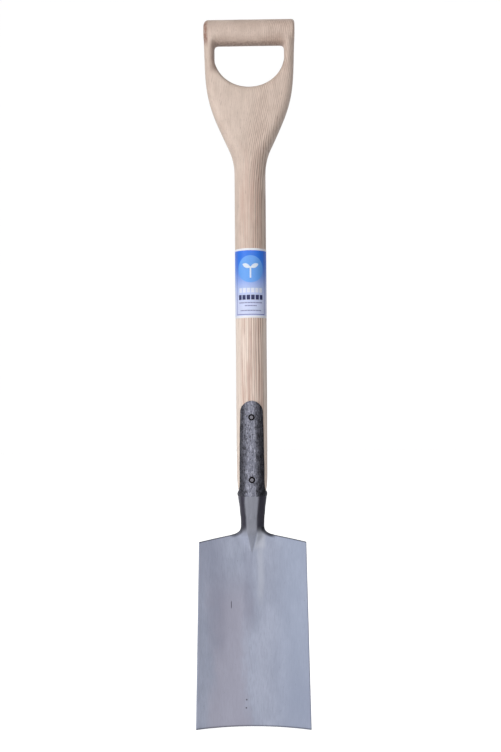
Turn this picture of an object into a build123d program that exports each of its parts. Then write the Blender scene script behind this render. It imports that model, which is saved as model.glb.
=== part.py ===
from build123d import *
import os
from math import atan, degrees

# A forged garden spade, standing on its blade. +Z runs up the shaft axis, and the origin is under that
# axis, level with the cutting edge's corners. The hollow side of the blade and the label face -Y.

# Driving dimensions, mm. Names ending in _Z are heights above the cutting edge's corners.
TOTAL_LENGTH = 950.0

# handle: one piece of ash
BAR_RADIUS = 17.25          # the crossbar that the hand holds
BAR_END_ROUND = 4.0
GRIP_WIDTH = 123.6
GRIP_SECTIONS = (           # height, width, thickness, corner radius; the lowest is a hair wider than the shaft
    (736.5, 42.5, 42.5, 21.2),
    (755.5, 46.2, 42.0, 19.5),
    (772.5, 56.8, 40.0, 17.0),
    (799.5, 81.4, 35.5, 13.5),
    (826.5, 102.6, 32.0, 11.5),
    (853.5, 115.8, 30.5, 10.5),
    (885.0, 120.6, 30.0, 10.0),
    (932.0, 123.2, 30.0, 10.0),
)
HAND_HOLE_WIDTH = 95.0
HAND_HOLE_BOTTOM_Z = 856.2
HAND_HOLE_BOW = 43.4        # rise of the half ellipse that rounds the bottom of the hand hole
CLIP_SEAT_RADIUS = 21.15    # the parallel stretch of the shaft, above the label
CLIP_SEAT_Z = 637.0
SHAFT_FOOT_RADIUS = 20.6
SHAFT_FOOT_Z = 332.7
SHAFT_ROUND_RADIUS = 19.65  # the shaft rounds in here, to enter the socket
SHAFT_ROUND_Z = 316.2
MOUTH_RADIUS = 17.4
MOUTH_Z = 304.0             # mouth of the socket, and foot of the straps
TENON_TIP_RADIUS = 12.0
TENON_TIP_Z = 273.0

# straps and rivets
STRAP_RADIUS = 23.8         # outer face, about 3 mm proud of the wood
STRAP_TOP_Z = 431.8
STRAP_TOP_HALF_WIDTH = 15.8
STRAP_HALF_WIDTH = 17.5     # just above the foot
STRAP_FOOT_TOP_Z = 323.7    # the strap widens below this, into a half collar
COLLAR_RADIUS = 20.2
COLLAR_RIM_Z = 307.7
COLLAR_FLARE = (-0.6, 0, 1)  # direction in which the right side of a strap leaves the rim of its collar
COLLAR_BULGE_RADIUS = 22.3
COLLAR_BULGE_Z = 317.7
STRAP_STRAIGHT_Z = 341.7
STRAP_GAP = 0.3             # between the two half collars, on each side of the shaft's mid plane
RIVET_Z = {"upper_rivet": 409.8, "lower_rivet": 326.7}
RIVET_RADIUS = 3.0
RIVET_HEAD_RADIUS = 4.2
RIVET_HEAD_PROUD = 1.2
RIVET_HEAD_ROUND = 0.8
RIVET_HEAD_SEAT = 1.2       # depth of the head's underside below the strap's outermost line

# blade
BLADE_WIDTH = 152.0         # across the cutting edge
SHOULDER_WIDTH = 143.6
BLADE_CORNER_Z = 243.1
BLADE_NECK_Z = 250.9        # where the sloping top edge would start to turn up into the neck
BLADE_NECK_HALF_WIDTH = 30.0
NECK_FILLET_Z = 260.5
NECK_WIDTH = 31.8           # where the neck meets the plate's top edge
BLADE_TOP_Z = 252.5         # the tilt of the plate is measured from here down
PLATE_THICKNESS = 2.4
DISH_DEPTH = 14.5
PLATE_TOP_Y = -1.0          # the plate's middle, front face, level with the top of the blade
PLATE_FOOT_Y = -19.0        # and at the cutting edge: the blade is set forward of the shaft
NECK_SECTIONS = (           # height, width, thickness, how far the section's middle lies behind the axis
    (MOUTH_Z, 38.8, 38.8, 0.0),
    (296.6, 37.4, 36.0, 0.0),
    (280.6, 34.0, 30.0, 0.0),
    (264.6, NECK_WIDTH, 21.0, 0.0),
    (BLADE_TOP_Z, 29.0, 13.5, 0.2),
    (237.5, 16.0, 8.5, -0.8),
    (221.0, 5.0, 4.8, -2.0),
)
NECK_ROUNDNESS = 0.49       # corner radius of those sections, as a share of their smaller side

# label
LABEL_FOOT_Z = 542.6
LABEL_TOP_Z = 635.7
LABEL_THICKNESS = 0.08
LABEL_WRAP = 236.0          # degrees round the shaft, half of it on each side of the front

# Derived
BAR_Z = TOTAL_LENGTH - BAR_RADIUS
FLARE_Z = GRIP_SECTIONS[0][0]
REACH = 4 * GRIP_WIDTH      # longer than anything that it cuts
EDGE_HALF = BLADE_WIDTH / 2
SHOULDER_HALF = SHOULDER_WIDTH / 2


def prism(face):
    """A face in the XZ plane, run through the whole object from front to back."""
    return extrude(face, amount=REACH, both=True)


def turned(*edges):
    """A solid of revolution about the shaft axis, from the outline of its right half."""
    return revolve(make_face(Wire(edges)), axis=Axis.Z)


def point(x, z):
    return Vector(x, 0, z)


def shaft():
    """The turned part of the handle: tenon, rounded shoulder, tapering shaft and parallel clip seat."""
    tip = point(TENON_TIP_RADIUS, TENON_TIP_Z)
    mouth = point(MOUTH_RADIUS, MOUTH_Z)
    foot = point(SHAFT_FOOT_RADIUS, SHAFT_FOOT_Z)
    seat = point(CLIP_SEAT_RADIUS, CLIP_SEAT_Z)
    flare = point(CLIP_SEAT_RADIUS, FLARE_Z)
    return turned(
        Line(point(0, TENON_TIP_Z), tip),
        Line(tip, mouth),
        ThreePointArc(mouth, point(SHAFT_ROUND_RADIUS, SHAFT_ROUND_Z), foot),
        Line(foot, seat),
        Line(seat, flare),
        Line(flare, point(0, FLARE_Z)),
        Line(point(0, FLARE_Z), point(0, TENON_TIP_Z)),
    )


def hand_hole():
    """The opening of the grip: a half ellipse below, open up to the crossbar's axis."""
    half = HAND_HOLE_WIDTH / 2
    spring_z = HAND_HOLE_BOTTOM_Z + HAND_HOLE_BOW
    bow = Plane.XZ * Pos(0, spring_z) * Ellipse(half, HAND_HOLE_BOW)
    window = Plane.XZ * Pos(0, (spring_z + BAR_Z) / 2) * Rectangle(HAND_HOLE_WIDTH, BAR_Z - spring_z)
    return prism(bow + window)


def handle():
    """The ash handle: shaft, flared shoulder, and the D-shaped grip with its crossbar."""
    sections = [
        Pos(0, 0, z) * RectangleRounded(width, thickness, corner)
        for z, width, thickness, corner in GRIP_SECTIONS
    ]
    grip = loft(sections) - hand_hole()
    bar = Pos(0, 0, BAR_Z) * Rot(0, 90, 0) * Cylinder(BAR_RADIUS, GRIP_WIDTH)
    bar = fillet(bar.edges().filter_by(GeomType.CIRCLE), BAR_END_ROUND)
    return shaft() + grip + bar


def strap_outline():
    """Front view of a strap: a half collar at its foot, long sides drawing in, and a round top."""
    arc_z = STRAP_TOP_Z - STRAP_TOP_HALF_WIDTH
    mirrored_flare = (COLLAR_FLARE[0], 0, -COLLAR_FLARE[2])
    foot = [point(side * COLLAR_RADIUS, MOUTH_Z) for side in (-1, 1)]
    rim = [point(side * COLLAR_RADIUS, COLLAR_RIM_Z) for side in (-1, 1)]
    waist = [point(side * STRAP_HALF_WIDTH, STRAP_FOOT_TOP_Z) for side in (-1, 1)]
    top = [point(side * STRAP_TOP_HALF_WIDTH, arc_z) for side in (-1, 1)]
    outline = Wire([
        Line(foot[0], foot[1]),
        Line(foot[1], rim[1]),
        Spline(rim[1], waist[1], tangents=[COLLAR_FLARE, (0, 0, 1)]),
        Line(waist[1], top[1]),
        ThreePointArc(top[1], point(0, STRAP_TOP_Z), top[0]),
        Line(top[0], waist[0]),
        Spline(waist[0], rim[0], tangents=[(0, 0, -1), mirrored_flare]),
        Line(rim[0], foot[0]),
    ])
    return make_face(outline)


def strap(wood):
    """The front strap, shaped to the wood under it. The back strap is its mirror image."""
    sleeve = turned(
        Line(point(0, MOUTH_Z), point(COLLAR_RADIUS, MOUTH_Z)),
        ThreePointArc(
            point(COLLAR_RADIUS, MOUTH_Z),
            point(COLLAR_BULGE_RADIUS, COLLAR_BULGE_Z),
            point(STRAP_RADIUS, STRAP_STRAIGHT_Z),
        ),
        Line(point(STRAP_RADIUS, STRAP_STRAIGHT_Z), point(STRAP_RADIUS, STRAP_TOP_Z)),
        Line(point(STRAP_RADIUS, STRAP_TOP_Z), point(0, STRAP_TOP_Z)),
        Line(point(0, STRAP_TOP_Z), point(0, MOUTH_Z)),
    )
    front = extrude(strap_outline(), amount=REACH, dir=(0, -1, 0))
    front = Pos(0, -STRAP_GAP, 0) * front
    return (sleeve & front) - wood


def rivet(height, straps):
    """A rivet through both straps and the shaft, its two low heads seated on the straps."""
    head_y = STRAP_RADIUS + RIVET_HEAD_PROUD
    shank = Cylinder(RIVET_RADIUS, 2 * head_y)
    heads = Cylinder(RIVET_HEAD_RADIUS, 2 * head_y)
    heads = fillet(heads.edges().filter_by(GeomType.CIRCLE), RIVET_HEAD_ROUND)
    heads -= Cylinder(REACH, 2 * (STRAP_RADIUS - RIVET_HEAD_SEAT))
    whole = Pos(0, 0, height) * Rot(90, 0, 0) * (shank + heads)
    for one in straps:
        whole -= one
    return whole


def rivet_hole(height):
    return Pos(0, 0, height) * Rot(90, 0, 0) * Cylinder(RIVET_RADIUS, REACH)


def plate():
    """The dished plate of the blade, before its outline is cut: part of a wide tube, set forward."""
    dish_radius = (EDGE_HALF**2 + DISH_DEPTH**2) / (2 * DISH_DEPTH)
    lift = degrees(atan((PLATE_TOP_Y - PLATE_FOOT_Y) / BLADE_TOP_Z))
    tube = Cylinder(dish_radius + PLATE_THICKNESS, 2 * REACH) - Cylinder(dish_radius, 2 * REACH)
    tube = Pos(0, -dish_radius, 0) * tube
    back_half = Pos(0, REACH / 2 - dish_radius, 0) * Box(REACH, REACH, 2 * REACH)
    return Pos(0, PLATE_FOOT_Y, 0) * Rot(-lift, 0, 0) * (tube & back_half)


def blade_outline():
    """Front view of the blade: straight edge and sides, sloping shoulders, a fillet up to the neck."""
    edge = [point(side * EDGE_HALF, 0) for side in (-1, 1)]
    corner = [point(side * SHOULDER_HALF, BLADE_CORNER_Z) for side in (-1, 1)]
    slope = [point(side * BLADE_NECK_HALF_WIDTH, BLADE_NECK_Z) for side in (-1, 1)]
    neck = [point(side * NECK_WIDTH / 2, NECK_FILLET_Z) for side in (-1, 1)]
    run = SHOULDER_HALF - BLADE_NECK_HALF_WIDTH
    rise = BLADE_NECK_Z - BLADE_CORNER_Z
    outline = Wire([
        Line(edge[0], edge[1]),
        Line(edge[1], corner[1]),
        Line(corner[1], slope[1]),
        Spline(slope[1], neck[1], tangents=[(-run, 0, rise), (0, 0, 1)]),
        Line(neck[1], neck[0]),
        Spline(neck[0], slope[0], tangents=[(0, 0, -1), (-run, 0, -rise)]),
        Line(slope[0], corner[0]),
        Line(corner[0], edge[0]),
    ])
    return make_face(outline)


def neck():
    """The neck, round at the socket's mouth and dying into the plate as a narrow rib."""
    sections = [
        Pos(0, back, z) * RectangleRounded(width, thickness, NECK_ROUNDNESS * min(width, thickness))
        for z, width, thickness, back in NECK_SECTIONS
    ]
    return loft(sections)


def blade(wood):
    """The forged blade, in one piece with its neck and its socket."""
    return (plate() & prism(blade_outline())) + neck() - wood


def label():
    """The paper label wrapped round the front of the shaft, on its slight taper."""
    taper = (CLIP_SEAT_RADIUS - SHAFT_FOOT_RADIUS) / (CLIP_SEAT_Z - SHAFT_FOOT_Z)
    low = SHAFT_FOOT_RADIUS + taper * (LABEL_FOOT_Z - SHAFT_FOOT_Z)
    high = SHAFT_FOOT_RADIUS + taper * (LABEL_TOP_Z - SHAFT_FOOT_Z)
    section = make_face(Polyline(
        point(low, LABEL_FOOT_Z),
        point(low + LABEL_THICKNESS, LABEL_FOOT_Z),
        point(high + LABEL_THICKNESS, LABEL_TOP_Z),
        point(high, LABEL_TOP_Z),
        close=True,
    ))
    wrap = revolve(section, axis=Axis.Z, revolution_arc=LABEL_WRAP)
    return Rot(0, 0, -90 - LABEL_WRAP / 2) * wrap


def build():
    holes = [rivet_hole(height) for height in RIVET_Z.values()]
    wood = handle()
    steel = blade(wood)
    front = strap(wood)
    for hole in holes:
        wood -= hole
        front -= hole
    back = mirror(front, about=Plane.XZ)
    nodes = {
        "handle": wood,
        "blade": steel,
        "front_strap": front,
        "back_strap": back,
        "label": label(),
    }
    for name, height in RIVET_Z.items():
        nodes[name] = rivet(height, (front, back))
    return nodes


os.makedirs("parts", exist_ok=True)
for node_name, solid in build().items():
    export_step(solid, f"parts/{node_name}.step")
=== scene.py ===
from functools import reduce
from math import asin, cos, pi, radians, sin

import bpy
import numpy as np
from mathutils import Euler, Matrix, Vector, noise


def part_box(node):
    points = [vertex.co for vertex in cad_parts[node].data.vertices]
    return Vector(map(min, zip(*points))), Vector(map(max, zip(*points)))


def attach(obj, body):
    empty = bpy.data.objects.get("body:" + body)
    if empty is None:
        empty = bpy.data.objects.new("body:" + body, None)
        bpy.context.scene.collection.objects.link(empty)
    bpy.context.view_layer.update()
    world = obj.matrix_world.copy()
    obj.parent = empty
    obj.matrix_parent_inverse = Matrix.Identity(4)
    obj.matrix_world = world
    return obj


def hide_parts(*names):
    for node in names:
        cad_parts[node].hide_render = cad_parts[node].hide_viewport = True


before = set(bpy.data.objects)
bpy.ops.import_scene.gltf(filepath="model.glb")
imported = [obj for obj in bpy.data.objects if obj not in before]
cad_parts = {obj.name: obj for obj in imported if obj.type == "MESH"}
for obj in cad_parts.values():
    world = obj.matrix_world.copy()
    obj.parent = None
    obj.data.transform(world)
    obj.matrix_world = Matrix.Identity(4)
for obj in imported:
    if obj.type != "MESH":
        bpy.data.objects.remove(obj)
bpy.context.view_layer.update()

# Shapes are worked out in millimetres in the part's own frame, and meshes are stored in metres.
# +Z runs up the shaft axis, the hollow side of the blade faces -Y, and heights are above the cutting edge.
MM = 0.001
TINY = 1e-6  # keeps a division from meeting zero


def node_box(node):
    """A CAD node's lowest and highest corners, in millimetres."""
    low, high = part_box(node)
    return np.array(low) / MM, np.array(high) / MM


HANDLE_LOW, HANDLE_HIGH = node_box("handle")
BLADE_LOW, BLADE_HIGH = node_box("blade")
STRAP_LOW, STRAP_HIGH = node_box("front_strap")
LABEL_LOW, LABEL_HIGH = node_box("label")

# ------------ shape of the wood
BAR_RADIUS = 17.25
BAR_LEFT_ROUND, BAR_RIGHT_ROUND = 7, 4.6
BAR_FILLET = 5.5  # reach of the soft joint between the crossbar and the arms
BAR_FILLET_LEAST = 0.2  # and at the grip's sides
BAR_FILLET_GROWTH = (2, 14)  # how far in from the sides it grows
BAR_Z = HANDLE_HIGH[2] - BAR_RADIUS
GRIP_HALF = HANDLE_HIGH[0]
HOLE_HALF = 47.5
HOLE_BOW = 43.4
HOLE_SPRING_Z = 899.6
HOLE_EDGE_ROUND = 6.5
MOUTH_Z = BLADE_HIGH[2]
TENON_TIP_RADIUS, MOUTH_RADIUS = 12, 17.4
SHAFT_RADII = (  # from the tenon's tip up to the foot of the flare
    (HANDLE_LOW[2], TENON_TIP_RADIUS), (MOUTH_Z, MOUTH_RADIUS), (310.2, 18.5), (316.2, 19.65), (322.7, 20.2),
    (332.7, 20.6), (637, 21.15), (736.5, 21.15),
)
HALF_WIDTHS = SHAFT_RADII + (
    (746.5, 21.5), (755.5, 22.9), (766.5, 25.9), (779.5, 31.6), (799.5, 40.7), (819.5, 49), (836.5, 54.4),
    (853.5, 57.9), (870.5, 59.7), (896, 60.8), (936, GRIP_HALF - 0.1),
)
HALF_DEPTHS = SHAFT_RADII + ((772.5, 20), (799.5, 17.75), (826.5, 16), (853.5, 15.2), (888.5, 15))
CORNERS = SHAFT_RADII + (  # how far the long edges are rounded off
    (772.5, 17.5), (799.5, 14), (826.5, 12), (853.5, 11), (888.5, 10.5),
)
SKIN_STEP = 1.8  # mesh size on the wood
SANDING_WAVE = 0.12  # height of the faint waves that hand sanding leaves
SANDING_SIZE, SANDING_SEED = (22, 22, 60), 3.1
SANDING_START = (MOUTH_Z + 20, MOUTH_Z + 130)  # they set in over these heights


def curve(at, knots):
    """The smooth curve through the knots, level at both ends and never overshooting between them."""
    place, value = np.array(knots, float).T
    gap = np.diff(place)
    slope = np.diff(value) / gap
    product = slope[:-1] * slope[1:]
    total = slope[:-1] + slope[1:]
    inner = np.where(product > 0, 2 * product / np.where(total == 0, 1, total), 0)
    tangent = np.concatenate([[0], inner, [0]])
    at = np.clip(np.asarray(at, float), place[0], place[-1])
    i = np.clip(np.searchsorted(place, at) - 1, 0, len(gap) - 1)
    t = (at - place[i]) / gap[i]
    low, high = value[i], value[i + 1]
    rise_low, rise_high = tangent[i] * gap[i], tangent[i + 1] * gap[i]
    return (
        low * (1 + 2 * t) * (1 - t) ** 2
        + rise_low * t * (1 - t) ** 2
        + high * t**2 * (3 - 2 * t)
        - rise_high * t**2 * (1 - t)
    )


def smooth_step(at, low, high):
    """0 up to low, 1 from high on, and smooth between them."""
    t = np.clip((at - low) / (high - low), 0, 1)
    return t * t * (3 - 2 * t)


def rounded_both(a, b, radius):
    """Distance to what lies inside both shapes, with their common edge rounded off."""
    past_a, past_b = np.maximum(a + radius, 0), np.maximum(b + radius, 0)
    return np.minimum(np.maximum(a, b), -radius) + np.hypot(past_a, past_b)


def soft_least(a, b, reach):
    """The smaller of two values, or of two distances, blended where they differ by less than reach."""
    share = np.maximum(reach - np.abs(a - b), 0) / reach
    return np.minimum(a, b) - share * share * reach / 4


def hand_hole_distance(x, z):
    """Distance outside the hand hole: straight sides on a half ellipse."""
    below = np.minimum(z - HOLE_SPRING_Z, 0)
    level = np.hypot(x / HOLE_HALF, below / HOLE_BOW)
    steepness = np.hypot(x / HOLE_HALF**2, below / HOLE_BOW**2) / np.maximum(level, TINY)
    return (level - 1) / np.maximum(steepness, TINY)


def handle_distance(points):
    """Distance outside the one-piece ash handle: tenon, shaft, flare and D-grip."""
    x, y, z = np.abs(points[:, 0]), np.abs(points[:, 1]), points[:, 2]
    half = curve(z, HALF_WIDTHS)
    lean = curve(z + 1, HALF_WIDTHS) - half
    side = (x - half) / np.hypot(1, lean)
    face = y - curve(z, HALF_DEPTHS)
    body = rounded_both(side, face, curve(z, CORNERS))
    body = rounded_both(body, -hand_hole_distance(x, z), HOLE_EDGE_ROUND)
    body = np.maximum(body, z - BAR_Z)
    body = np.maximum(body, HANDLE_LOW[2] - z)
    bar = np.hypot(y, z - BAR_Z) - BAR_RADIUS
    bar = rounded_both(bar, x - GRIP_HALF, np.where(points[:, 0] < 0, BAR_LEFT_ROUND, BAR_RIGHT_ROUND))
    reach = BAR_FILLET * smooth_step(GRIP_HALF - x, *BAR_FILLET_GROWTH) + BAR_FILLET_LEAST
    return soft_least(body, bar, reach)


def gradient(distance, points, step=0.05):
    """The direction in which the distance grows fastest, at each point."""
    axes = np.eye(3) * step
    return np.stack([distance(points + axis) - distance(points - axis) for axis in axes], 1) / (2 * step)


def skin(distance, low, high, step):
    """Points and quads of the surface where distance is zero, one point in each cell that it crosses."""
    counts = np.ceil((high - low) / step).astype(int) + 1
    grid = low + step * np.stack(np.indices(counts), -1)
    value = distance(grid.reshape(-1, 3)).reshape(counts)
    cells = counts - 1
    total, hits = np.zeros((*cells, 3)), np.zeros(cells)
    axes = np.eye(3, dtype=int)
    crossings = []
    for axis in range(3):
        at = np.argwhere(np.diff(value < 0, axis=axis))
        at = at[((at > 0) & (at < cells) | (axes[axis] > 0)).all(1)]
        a, b = value[tuple(at.T)], value[tuple((at + axes[axis]).T)]
        spot = low + step * (at + axes[axis] * (a / (a - b))[:, None])
        one, other = np.delete(axes, axis, 0)
        ring = [at, at - one, at - one - other, at - other]
        for cell in ring:
            np.add.at(total, tuple(cell.T), spot)
            np.add.at(hits, tuple(cell.T), 1)
        crossings.append((ring, (a < 0) ^ (axis == 1)))
    used = tuple(np.argwhere(hits > 0).T)
    owner = np.full(cells, -1)
    owner[used] = np.arange(len(used[0]))
    quads = []
    for ring, right_way in crossings:
        corners = np.stack([owner[tuple(cell.T)] for cell in ring], 1)
        quads.append(np.where(right_way[:, None], corners, corners[:, ::-1]))
    return total[used] / hits[used][:, None], np.concatenate(quads)


def settle(distance, points, rounds=6, flattest=0.2):
    """Moves points onto the surface where distance is zero."""
    for _ in range(rounds):
        slope = gradient(distance, points)
        steep = np.maximum((slope**2).sum(1), flattest)
        points = points - slope * (distance(points) / steep)[:, None]
    return points


def waves(points, size, seed, height):
    """Smooth noise of that height at each point, from features of that size along each axis."""
    shift = Vector((seed, 2 * seed, 3 * seed))
    return np.array([noise.noise(Vector(p) + shift) for p in points / np.array(size)]) * height


def round_front(radius, turn, z):
    """Points at that radius from the shaft's axis, turned away from the front by that angle."""
    return np.stack([radius * np.sin(turn), -radius * np.cos(turn), z + 0 * turn], 1)


def make_mesh(name, points, faces, sharp=None):
    """A smooth-shaded object from points in millimetres. Edges sharper than that angle stay crisp."""
    mesh = bpy.data.meshes.new(name)
    mesh.from_pydata((np.asarray(points) * MM).tolist(), [], [list(map(int, f)) for f in faces])
    mesh.validate()
    mesh.polygons.foreach_set("use_smooth", [True] * len(mesh.polygons))
    if sharp is not None:
        mesh.set_sharp_from_angle(angle=radians(sharp))
    piece = bpy.data.objects.new(name, mesh)
    bpy.context.scene.collection.objects.link(piece)
    return piece


def make_handle():
    """The ash handle: the surface of its distance field, with the faint waves of sanding."""
    margin = 2 * SKIN_STEP
    points, quads = skin(handle_distance, HANDLE_LOW - margin, HANDLE_HIGH + margin, SKIN_STEP)
    points = settle(handle_distance, points)
    outward = gradient(handle_distance, points)
    outward /= np.maximum(np.linalg.norm(outward, axis=1), TINY)[:, None]
    sanding = waves(points, SANDING_SIZE, SANDING_SEED, SANDING_WAVE) - SANDING_WAVE
    free = smooth_step(points[:, 2], *SANDING_START)
    points = points + outward * (sanding * free)[:, None]
    return make_mesh("ash_handle", points, quads)


# ------------ shape of the blade
EDGE_HALF = BLADE_HIGH[0]
CORNER_HALF, CORNER_Z = 71.8, 243.2
SHOULDER_TOP, SHOULDER_FOOT = (30.3, 250.8), (CORNER_HALF, CORNER_Z)  # ends of a shoulder's straight line
DISH_DEPTH = 14.5
DISH_RADIUS = (EDGE_HALF**2 + DISH_DEPTH**2) / (2 * DISH_DEPTH)
PLATE_TOP_Y, PLATE_TOP_Z = -1, 252.5
PLATE_FOOT_Y = BLADE_LOW[1] + DISH_DEPTH + 0.1
PLATE_HALF_THICKNESS = 1.2
PLATE_THINNING = (254.5, 266.5)  # the plate runs out into the neck over these heights
MIDDLE_RETURN = (248.5, 268.5)  # and its middle comes back to the shaft's axis over these
NECK_FOOT_Z = 261
NECK_HALVES = (  # half the neck's width
    (NECK_FOOT_Z - 4, 16), (NECK_FOOT_Z, 15.9), (266.6, 15.85), (273.6, 16.1), (280.6, 16.9), (288.6, 17.5),
    (296.6, 18.7), (MOUTH_Z, 19.4), (MOUTH_Z + 4, 19.4),
)
NECK_FILLET = ((16.4, 258.7), (17.6, 256.5), (19.9, 254.4), (24, 252.4), SHOULDER_TOP)
FACET_HEIGHTS = (  # how far the facet on the front of the neck stands out from the neck's middle
    (217.5, 0), (228.5, 0.9), (239.5, 3), (252.5, 6.2), (264.5, 10), (280.6, 14.2), (296.6, 17),
    (MOUTH_Z + 2, 18),
)
FACET_HALVES = (  # half the facet's width
    (217.5, 0.3), (239.5, 3), (252.5, 5.6), (262.5, 6.8), (275.5, 7.3), (288.6, 8.4), (MOUTH_Z, 9.6),
)
FACET_ROUND, FACET_SIDE_ROUND, RIB_FADE = 1.6, 1, 1.5  # how softly the facet's edges run out
FACET_ROUND_FOOT_Z = NECK_FOOT_Z - 8  # its sides follow the round neck above this
RIB_START = (214, 226)  # the rib rises over these heights
BACK_HEIGHTS = (  # how far the neck's back and the keel stand out
    (214.5, 0), (228.5, 1.6), (239.5, 3.8), (252.5, 7.2), (264.5, 11), (280.6, 15.4), (296.6, 18.5),
    (MOUTH_Z + 2, 19.4),
)
FACET_OFFSET = 0.9  # how far left of the neck's middle the facet was ground
FLANK_STEEPNESS = ((232, 0.35), (250, 0.45), (268, 1.15))  # of the slopes beside the facet
KEEL_START_Z = 210.5
KEEL_TIP_WIDTH = 0.12  # as a share of the neck's
KEEL_POWERS = (0.5, 1.7)  # the back's section, from round on the neck to a sharp keel on the plate
KEEL_CHANGE = (-4, 12)  # that change, measured down from the neck's foot
BEVEL_ROWS = (5, 3.6, 2.4, 1.4, 0.6, 0.2, 0)  # heights of the mesh rows over the ground cutting edge
BEVEL = ((0, 0.35), (0.4, 0.45), (3.2, 0.95), (5, 1))  # share of the plate's thickness left there
NECK_ROWS, SHOULDER_ROWS, SIDE_ROWS = 26, 22, 76
RIM_LEAST, RIM_GROWTH = 0.15, 8  # the rim's rounding on the neck, and how far below its foot it grows
RIM_TURNS = (-50, 0, 50)  # where the points round the rim lie, in degrees
ROW_BEND, WING_SPACING = 1.8, 1.1  # the powers that bend the mesh rows and space the wing's columns
RIB_MOST = 0.92  # the widest share of a row that the rib's columns take
RIB_REACHES = ((KEEL_START_Z, 6), (239.5, 9), (252.5, 13), (NECK_FOOT_Z, 14.6), (MOUTH_Z, 17.6))
RIB_COLUMNS, WING_COLUMNS = 13, 24
CORNER_ROW_Z = 205  # where the mesh row that ends at a shoulder corner crosses the blade's middle
GRINDING_WAVES = (((30, 60, 190), 1.7, 0.28), ((10, 40, 150), 5.3, 0.06))  # size, seed and height
GRINDING_TOP_FADE, GRINDING_EDGE_FADE = (206, 246), (0, 12)  # the heights where they run out
GRINDING_BACK_Y = PLATE_TOP_Y + 6  # only what lies in front of this is waved


def silhouette():
    """Where the rows of the blade's mesh meet its right-hand outline, and which way that faces."""
    neck = [(float(curve(z, NECK_HALVES)), z) for z in np.linspace(MOUTH_Z, NECK_FOOT_Z, NECK_ROWS)]
    start, corner = np.array(SHOULDER_TOP), np.array(SHOULDER_FOOT)
    shoulder = start + np.linspace(0, 1, SHOULDER_ROWS + 1)[1:, None] * (corner - start)
    heights = np.concatenate([np.linspace(CORNER_Z, BEVEL_ROWS[0], SIDE_ROWS)[1:-1], BEVEL_ROWS])
    side = np.stack([EDGE_HALF + (CORNER_HALF - EDGE_HALF) * heights / CORNER_Z, heights], 1)
    outline = np.concatenate([neck, NECK_FILLET, shoulder, side])
    along = np.gradient(outline, axis=0)
    facing = np.stack([-along[:, 1], along[:, 0]], 1)
    return outline, facing / np.linalg.norm(facing, axis=1)[:, None]


def plate_front(x, z):
    """The hollow front face of the plate."""
    middle = PLATE_TOP_Y + (PLATE_FOOT_Y - PLATE_TOP_Y) * (PLATE_TOP_Z - z) / PLATE_TOP_Z
    return middle - (DISH_RADIUS - np.sqrt(DISH_RADIUS**2 - x**2))


def facet_rise(x, z, half):
    """How far the faceted front of the neck, and the rib below it, stand out."""
    top = curve(z, FACET_HEIGHTS)
    reach = curve(z, FACET_HALVES)
    flank = curve(z, FLANK_STEEPNESS) * (reach - np.abs(x + FACET_OFFSET)) + top
    rise = soft_least(top, flank, FACET_ROUND)
    round_side = (top + FACET_ROUND) * np.sqrt(np.clip(1 - (x / half) ** 2, 0, 1))
    rise = np.where(z > FACET_ROUND_FOOT_Z, soft_least(rise, round_side, FACET_SIDE_ROUND), rise)
    return np.maximum(-soft_least(-rise, 0 * rise, RIB_FADE), 0) * smooth_step(z, *RIB_START)


def back_rise(x, z, half):
    """How far the round back of the neck, and the keel below it, stand out."""
    width = half * (KEEL_TIP_WIDTH + (1 - KEEL_TIP_WIDTH) * smooth_step(z, KEEL_START_Z, NECK_FOOT_Z))
    inside = np.clip(1 - (x / width) ** 2, 0, 1)
    blunt, sharp = KEEL_POWERS
    power = blunt + (sharp - blunt) * smooth_step(NECK_FOOT_Z - z, *KEEL_CHANGE)
    return curve(z, BACK_HEIGHTS) * inside**power


def blade_row(edge, facing, middle_z):
    """One closed loop of the blade's mesh, across the front and back across the back."""
    rim = PLATE_HALF_THICKNESS * smooth_step(NECK_FOOT_Z - edge[1], 0, RIM_GROWTH) + RIM_LEAST
    end = edge - rim * facing
    rib = min(float(curve(middle_z, RIB_REACHES)), RIB_MOST * end[0])
    inner = np.linspace(0, rib, RIB_COLUMNS)
    outer = rib + (end[0] - rib) * np.sin(np.linspace(0, pi / 2, WING_COLUMNS + 1)[1:]) ** WING_SPACING
    right = np.concatenate([inner, outer])
    x = np.concatenate([-right[:0:-1], right])
    z = middle_z + (end[1] - middle_z) * (np.abs(x) / end[0]) ** ROW_BEND
    half = float(curve(max(middle_z, NECK_FOOT_Z), NECK_HALVES))
    thickness = PLATE_HALF_THICKNESS * (1 - smooth_step(z, *PLATE_THINNING)) * curve(z, BEVEL)
    middle = plate_front(x, z) * (1 - smooth_step(z, *MIDDLE_RETURN)) + PLATE_HALF_THICKNESS
    front = middle - thickness - facet_rise(x, z, half)
    back = middle + thickness + back_rise(x, z, half)
    edge_middle, edge_depth = (front[-1] + back[-1]) / 2, (back[-1] - front[-1]) / 2
    turn = np.radians(RIM_TURNS)
    side_x = end[0] + rim * facing[0] * np.cos(turn)
    side_y = edge_middle + edge_depth * np.sin(turn)
    side_z = end[1] + rim * facing[1] * np.cos(turn)
    return np.stack([
        np.concatenate([x, side_x, x[::-1], -side_x[::-1]]),
        np.concatenate([front, side_y, back[::-1], side_y[::-1]]),
        np.concatenate([z, side_z, z[::-1], side_z[::-1]]),
    ], 1)


def loft(rings, lids=(False, True)):
    """Points and faces of closed rings that run anticlockwise seen from the last one.

    A lid goes over the first ring (False), over the last (True) or over both.
    """
    size = len(rings[0])
    top = (len(rings) - 1) * size
    at = np.arange(size)
    ahead = (at + 1) % size
    faces = []
    for low in range(0, top, size):
        high = low + size
        faces += np.stack([low + at, low + ahead, high + ahead, high + at], 1).tolist()
    for last in lids:
        faces.append(list(range(top, top + size)) if last else list(range(size))[::-1])
    return np.concatenate(rings), faces


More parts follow.
